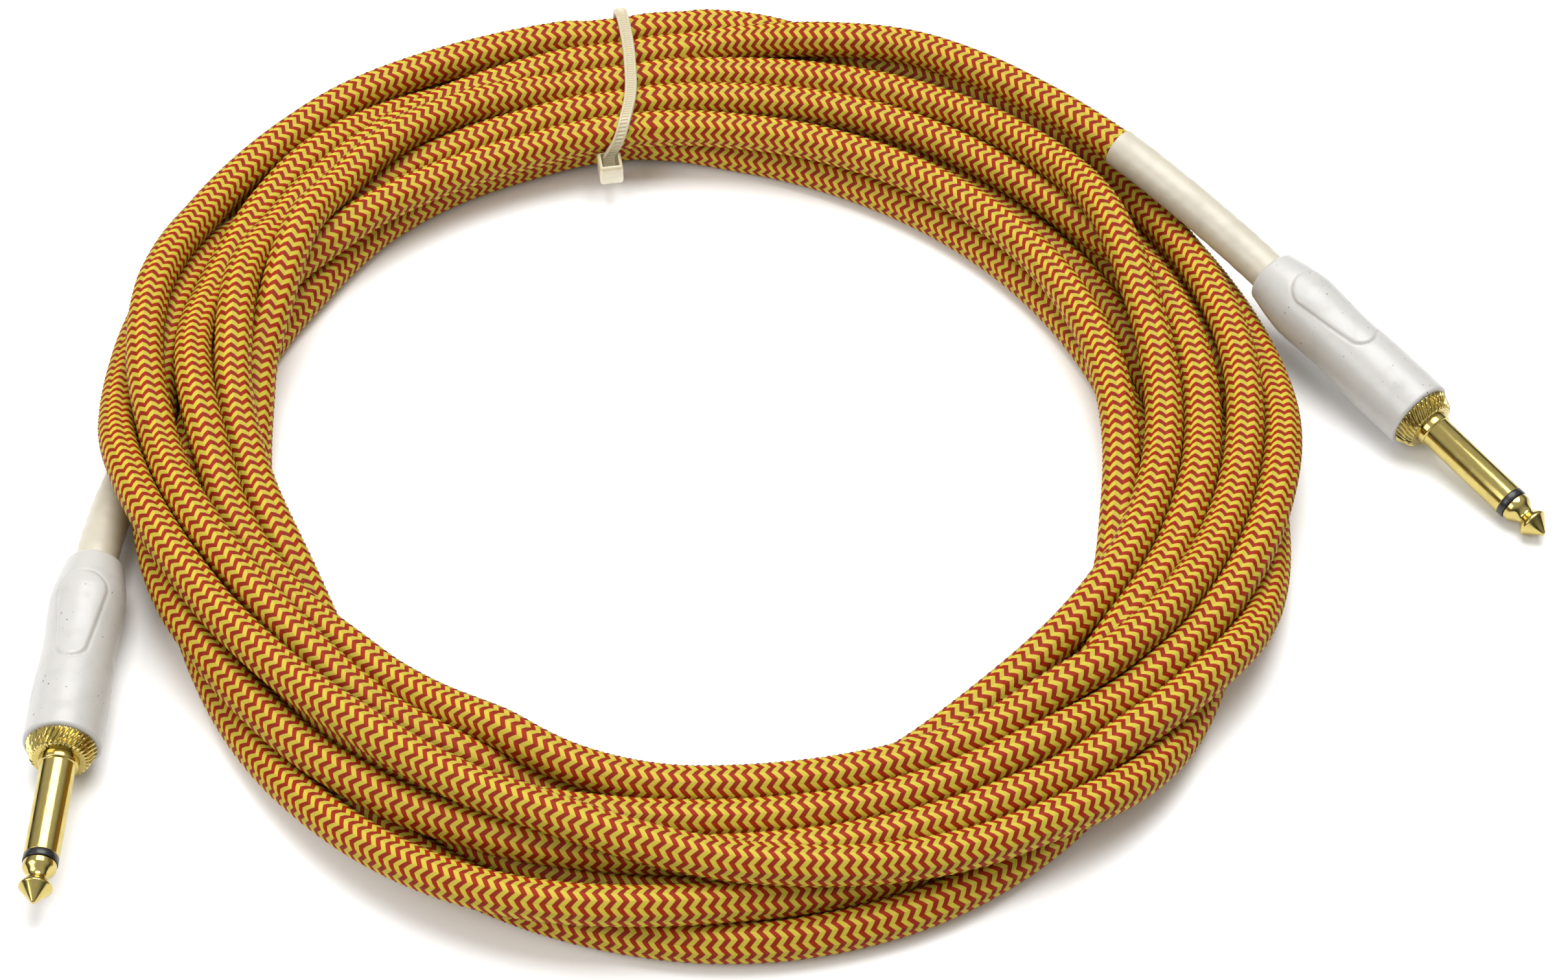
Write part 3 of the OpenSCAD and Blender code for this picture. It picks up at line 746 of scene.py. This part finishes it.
class CABLE_OT_turn_contacts(bpy.types.Operator):
    """Turns the gold sleeve and tip of each plug, and the black ring between them"""
    bl_idname = "cable.turn_contacts"
    bl_label = "Sleeve, ring and tip"
    bl_options = {"REGISTER", "UNDO"}

    def execute(self, context):
        scene = context.scene
        sizes = scene.plug_sizes
        gold = once("gold plate", gold_finish, sizes.gold)
        black = once("black insulator", plain_plastic, "black insulator", (0.012, 0.012, 0.013), 0.3)
        sleeve, neck = sizes.sleeve_d / 2, sizes.neck_d / 2
        edge, ledge, chamfer = 0.00035, 0.00006, 0.0001
        ring_edge, ring_inset = 0.00008, 0.00002
        for key in PLUGS:
            turned(f"plug_sleeve_{key}", key,
                   [(SLEEVE_TAIL, SLEEVE_BORE_R), (SLEEVE_TAIL, neck)]
                   + arc((NECK_L - edge, neck - edge), edge, 90, 0, 6)
                   + [(NECK_L, sleeve + ledge), (NECK_L + chamfer, sleeve)]
                   + arc((SLEEVE_FRONT - chamfer, sleeve - chamfer), chamfer, 90, 0, 4)
                   + [(SLEEVE_FRONT, SLEEVE_BORE_R)],
                   gold, replaces=(f"sleeve_{key}",))
            turned(f"plug_ring_{key}", key,
                   [(SLEEVE_FRONT, ROD_R), (SLEEVE_FRONT, sleeve - ring_edge),
                    (SLEEVE_FRONT + chamfer, sleeve - ring_inset),
                    (RING_FRONT - chamfer, sleeve - ring_inset),
                    (RING_FRONT, sleeve - ring_edge), (RING_FRONT, ROD_R)],
                   black, replaces=(f"tip_insulator_{key}",))
            turned(f"plug_tip_{key}", key, self.tip_outline(sizes), gold,
                   replaces=(f"tip_{key}",), sharp=50)
        return {"FINISHED"}

    def tip_outline(self, sizes):
        """A rounded bead, a groove, and a cone whose edge is rounded."""
        r, g = sizes.tip_d / 2, sizes.groove_d / 2
        length = TIP_END - RING_FRONT
        bead = RING_FRONT + BEAD_AT * length
        groove, edge = RING_FRONT + GROOVE_AT * length, RING_FRONT + CONE_AT * length
        steps = np.linspace(0, 1, 14)[1:]
        falling = [(bead + t * (groove - bead), r + (g - r) * eased(t)) for t in steps]
        rising = [(groove + t * (edge - groove), g + (r - g) * eased(t)) for t in steps]
        nose = arc((TIP_END - NOSE_R, 0.0), NOSE_R, 62, 0, 7)
        return ([(RING_FRONT, ROD_R)]
                + arc((RING_FRONT + TIP_EDGE, r - TIP_EDGE), TIP_EDGE, 180, 90, 6)
                + falling + rising[:-1]
                + arc((edge, r - TIP_EDGE), TIP_EDGE, 100, 40, 6)
                + nose[:-1] + [(TIP_END, ON_AXIS)]
                + [(RING_FRONT + ROD_DEPTH, ON_AXIS), (RING_FRONT + ROD_DEPTH, ROD_R)])


RIB_SLANT = 28                    # degrees off the plug's axis
RIB_FADE = 0.00025                # over which the ribs die out at each end
RIB_FLANK = 0.45                  # a rib rises while its wave goes from minus this to this
TAIL_INSET = 0.0003               # the collar's tail, in from its outer radius


class CABLE_OT_knurl_collars(bpy.types.Operator):
    """Cuts the slanted ribs of each plug's gold collar"""
    bl_idname = "cable.knurl_collars"
    bl_label = "Knurled collars"
    bl_options = {"REGISTER", "UNDO"}

    def execute(self, context):
        scene = context.scene
        sizes = scene.plug_sizes
        gold = once("gold plate", gold_finish, sizes.gold)
        front, rear = sizes.collar_front_d / 2, sizes.collar_d / 2
        bore = sizes.collar_bore_d / 2
        slant = tan(radians(RIB_SLANT))
        places = np.linspace(0, HANDLE_FRONT, 17)
        cone = [(x, front + (rear - front) * x / HANDLE_FRONT) for x in places]
        tail = rear - TAIL_INSET
        clear_of_bore, hair = 0.0003, 1e-6

        def ribs(x, turn, base):
            on_cone = (base > bore + clear_of_bore) & (x >= HANDLE_FRONT - hair)
            fade = np.clip(np.minimum(-x, x - HANDLE_FRONT) / RIB_FADE, 0, 1)
            wave = np.cos(sizes.rib_count * (turn + slant * x / ((front + rear) / 2)))
            return base + on_cone * fade * sizes.rib_h * eased((wave + RIB_FLANK) / (2 * RIB_FLANK))

        for key in PLUGS:
            turned(f"collar_{key}", key,
                   [(0, bore)] + cone + [(HANDLE_FRONT, tail), (COLLAR_TAIL, tail), (COLLAR_TAIL, bore)],
                   gold, sides=sizes.rib_count * 10, radius=ribs,
                   replaces=(f"knurled_collar_{key}",), sharp=35)
        return {"FINISHED"}


STRAP_BEVEL, TOOTH_DEPTH = 0.0002, 0.00016
TOOTH_STEPS = 4                   # rings in one tooth and the gap after it
LADDER_W, LADDER_FLOOR_W = 0.62, 0.55   # shares of the strap's width
HEAD_ROUND, HEAD_OVER, HEAD_DROP = 0.0007, 0.0002, 0.0006
BALL_RINGS, BALL_SIDES, BALL_GAP = 24, 48, 0.001


class CABLE_OT_fasten_tie(bpy.types.Operator):
    """Fastens the ivory cable tie round the coil"""
    bl_idname = "cable.fasten_tie"
    bl_label = "Cable tie"
    bl_options = {"REGISTER", "UNDO"}

    def execute(self, context):
        scene = context.scene
        sizes = scene.tie_sizes
        material = once("tie nylon", nylon_finish, sizes.nylon)
        self.strap(sizes, material)
        self.head(sizes, material)
        return {"FINISHED"}

    def to_frame(self, out, up, beside):
        """Points from how far out, up and round the coil they are."""
        turn = radians(TIE_ANGLE)
        away, round_ = np.array((cos(turn), sin(turn))), np.array((-sin(turn), cos(turn)))
        flat = COIL_AT + out[..., None] * away + beside[..., None] * round_
        return np.concatenate((flat, up[..., None]), -1)

    def strap(self, sizes, material):
        """The strap runs round a box with round corners and has fine teeth on its outside."""
        w, h, t = TIE_LOOP_W, TIE_LOOP_H, sizes.strap_t
        corners = ((1, 1, TIE_ROUND), (1, -1, TIE_CORNER), (-1, -1, TIE_CORNER),
                   (-1, 1, TIE_CORNER))
        runs = [(w, h)[side % 2] - corners[side][2] - corners[side - 1][2] for side in range(4)]
        quarters = [pi / 2 * (corner[2] + t / 2) for corner in corners]
        length = sum(runs) + sum(quarters)
        stations = int(length / sizes.tooth) * TOOTH_STEPS
        s = np.linspace(0, length, stations, endpoint=False)
        x, z, nx, nz = (np.zeros(stations) for _ in range(4))
        start = 0
        for side, (right, upper, corner) in enumerate(corners):
            r, run, quarter = corner + t / 2, runs[side], quarters[side]
            here = (s >= start) & (s < start + run + quarter)
            past = s[here] - start - run
            a = side * pi / 2 + np.maximum(past, 0) / r
            back = np.minimum(past, 0)
            nx[here], nz[here] = np.sin(a), np.cos(a)
            x[here] = right * (w / 2 - corner) + r * np.sin(a) + back * np.cos(a)
            z[here] = upper * (h / 2 - corner) + r * np.cos(a) - back * np.sin(a)
            start += run + quarter
        outside = runs[0] + quarters[0] + runs[1] / 2
        over = (outside - s) % length / (length / 2)   # 0 outside, 1 at the head, 2 outside
        lean = np.where(over < 1, hermite(*STRAP_LEAN, over), HEAD_BESIDE
                        + (STRAP_LEAN[1][0] - HEAD_BESIDE) * eased(over - 1))
        hw, ht, bevel = sizes.strap_w / 2, t / 2, STRAP_BEVEL
        tooth = np.where(np.arange(stations) % TOOTH_STEPS < TOOTH_STEPS / 2, 0.0, TOOTH_DEPTH)
        section = ((-hw, -ht + bevel), (-hw + bevel, -ht), (hw - bevel, -ht), (hw, -ht + bevel),
                   (hw, ht - bevel), (hw - bevel, ht), (hw * LADDER_W, ht),
                   (hw * LADDER_FLOOR_W, ht - tooth), (-hw * LADDER_FLOOR_W, ht - tooth),
                   (-hw * LADDER_W, ht), (-hw + bevel, ht), (-hw, ht - bevel))
        rings = [self.to_frame(TIE_RADIUS + x + nx * off, TIE_Z + z + nz * off, lean + across)
                 for across, off in section]
        points = np.stack(rings, 1)
        faces = grid_faces(stations, len(section), closed_rings=True)
        add_piece("tie_strap", points.reshape(-1, 3), faces, [material],
                  replaces=("cable_tie",), sharp=35)

    def head(self, sizes, material):
        """The head is a rounded block on the inner side."""
        depth = sizes.head_t + sizes.strap_t
        centre = TIE_RADIUS - TIE_LOOP_W / 2 + HEAD_OVER - depth / 2
        self.rounded_block("tie_head", (depth, sizes.head_w, sizes.head_h), HEAD_ROUND, centre,
                           TIE_Z - HEAD_DROP, material)

    def rounded_block(self, name, extent, rounding, out, up, material):
        """A block with rounded edges from a ball whose eighths are moved apart.

        The ball has no caps at its poles, so the block is open at its top and bottom.
        """
        tilt = np.linspace(BALL_GAP, pi - BALL_GAP, BALL_RINGS)[:, None]
        turn = (np.arange(BALL_SIDES) + 0.5)[None, :] * 2 * pi / BALL_SIDES
        ball = np.stack((np.sin(tilt) * np.cos(turn), np.sin(tilt) * np.sin(turn),
                         np.cos(tilt) * np.ones_like(turn)), -1)
        ball = ball.reshape(-1, 3)
        core = np.array(extent) / 2 - rounding
        local = ball * rounding + np.sign(np.round(ball, 6)) * core
        points = self.to_frame(out + local[:, 0], up + local[:, 2], HEAD_BESIDE + local[:, 1])
        faces = grid_faces(BALL_RINGS, BALL_SIDES)
        return add_piece(name, points, faces, [material], sharp=0)


class CABLE_OT_finish_inner_parts(bpy.types.Operator):
    """Gives the parts inside each plug their plastics and metals"""
    bl_idname = "cable.finish_inner_parts"
    bl_label = "Inner parts"
    bl_options = {"REGISTER", "UNDO"}

    def execute(self, context):
        scene = context.scene
        nickel = once("nickel plate", plain_metal, "nickel plate", (0.62, 0.60, 0.56))
        copper = once("bare copper", plain_metal, "bare copper", (0.72, 0.30, 0.16), 0.3)
        black = once("black insulator", plain_plastic, "black insulator", (0.012, 0.012, 0.013), 0.3)
        mould = once("mould plastic", plain_plastic, "mould plastic", (0.72, 0.70, 0.62), 0.5)
        jacket = once("inner jacket", plain_plastic, "inner jacket", (0.03, 0.03, 0.032), 0.55)
        core = once("core insulation", plain_plastic, "core insulation", (0.65, 0.64, 0.60), 0.45)
        for stem, material in (("inner_mould", mould), ("inner_insulator", black),
                               ("centre_rod", nickel), ("rear_washer", black), ("tip_lug", nickel),
                               ("ground_clamp", nickel), ("jacket_end", jacket),
                               ("core_wire", core), ("shield_wire", copper)):
            for key in PLUGS:
                node = bpy.data.objects[f"{stem}_{key}"]
                for slot in node.material_slots:
                    slot.material = material
        return {"FINISHED"}


SENSOR, LENS = 36.0, 86.0          # mm
CAMERA_AT, CAMERA_TILT = (-0.0041, -0.4881, 0.5351), 42
CLIP_START, CLIP_END = 0.01, 20
FLOOR_HALF, FLOOR_GREY, FLOOR_ROUGHNESS = 3.0, 0.97, 0.9
# the sky's strength low down, what is added high up, and between which heights it grows
SKY_LOW, SKY_MORE, SKY_FROM, SKY_TO = 0.03, 0.6, 0.12, 0.62
# each light's name, place, tilt in degrees, side and power
LIGHTS = (("top light", (0.05, 0.35, 1.1), (-18, 3, 0), 0.9, 15),
          ("left light", (-0.9, -0.5, 0.8), (40, 0, -60), 0.7, 6))


class CABLE_OT_set_stage(bpy.types.Operator):
    """Sets the floor, the lights and the camera"""
    bl_idname = "cable.set_stage"
    bl_label = "Stage"
    bl_options = {"REGISTER", "UNDO"}

    def execute(self, context):
        scene = context.scene
        self.camera(scene)
        self.floor(scene)
        self.lights(scene)
        scene.view_settings.view_transform = "Standard"
        return {"FINISHED"}

    def camera(self, scene):
        data = bpy.data.cameras.new("camera")
        data.sensor_width, data.lens = SENSOR, LENS
        data.clip_start, data.clip_end = CLIP_START, CLIP_END
        camera = bpy.data.objects.new("camera", data)
        camera.location = CAMERA_AT
        camera.rotation_euler = (radians(CAMERA_TILT), 0, 0)
        scene.collection.objects.link(camera)
        scene.camera = camera

    def floor(self, scene):
        mesh = bpy.data.meshes.new("floor")
        side = FLOOR_HALF
        mesh.from_pydata([(-side, -side, 0), (side, -side, 0), (side, side, 0), (-side, side, 0)],
                         [], [(0, 1, 2, 3)])
        grey = (FLOOR_GREY, FLOOR_GREY, FLOOR_GREY)
        mesh.materials.append(Finish("floor", grey, FLOOR_ROUGHNESS).material)
        floor = bpy.data.objects.new("floor", mesh)
        scene.collection.objects.link(floor)

    def lights(self, scene):
        world = bpy.data.worlds.new("soft daylight")
        world.use_nodes = True
        background = world.node_tree.nodes["Background"]
        background.inputs["Color"].default_value = (1.0, 1.0, 1.0, 1)
        sky = Nodes(world.node_tree)
        way = sky.node("ShaderNodeTexCoord", {}, {}, "Generated")
        up = sky.node("ShaderNodeSeparateXYZ", {}, {"Vector": way}, "Z")
        sky.set(background.inputs["Strength"], SKY_LOW + SKY_MORE * up.above(SKY_FROM, SKY_TO))
        scene.world = world
        for light in LIGHTS:
            self.panel(scene, *light)

    def panel(self, scene, name, place, tilt, side, power):
        data = bpy.data.lights.new(name, "AREA")
        data.shape, data.size, data.energy = "SQUARE", side, power
        light = bpy.data.objects.new(name, data)
        light.location = place
        light.rotation_euler = [radians(v) for v in tilt]
        scene.collection.objects.link(light)


class CABLE_PT_panel(bpy.types.Panel):
    """The pieces of the instrument cable, in the order they are made"""
    bl_idname = "CABLE_PT_panel"
    bl_label = "Instrument cable"
    bl_space_type = "VIEW_3D"
    bl_region_type = "UI"
    bl_category = "Instrument cable"

    def draw(self, context):
        for operator in OPERATORS:
            self.layout.operator(operator.bl_idname)


OPERATORS = (CABLE_OT_set_stage, CABLE_OT_shrink_sleeves, CABLE_OT_mould_handles,
             CABLE_OT_turn_contacts, CABLE_OT_knurl_collars, CABLE_OT_weave_cord,
             CABLE_OT_fasten_tie, CABLE_OT_finish_inner_parts)
GROUPS = {"cord_sizes": CordSizes, "plug_sizes": PlugSizes, "tie_sizes": TieSizes}


def register():
    for group in GROUPS.values():
        bpy.utils.register_class(group)
    for name, group in GROUPS.items():
        setattr(bpy.types.Scene, name, PointerProperty(type=group))
    for cls in (*OPERATORS, CABLE_PT_panel):
        bpy.utils.register_class(cls)


def unregister():
    for cls in reversed((*OPERATORS, CABLE_PT_panel)):
        bpy.utils.unregister_class(cls)
    for name in GROUPS:
        delattr(bpy.types.Scene, name)
    for group in reversed(GROUPS.values()):
        bpy.utils.unregister_class(group)


def main():
    register()
    for operator in OPERATORS:
        group, name = operator.bl_idname.split(".")
        getattr(getattr(bpy.ops, group), name)()


if __name__ == "__main__":
    main()
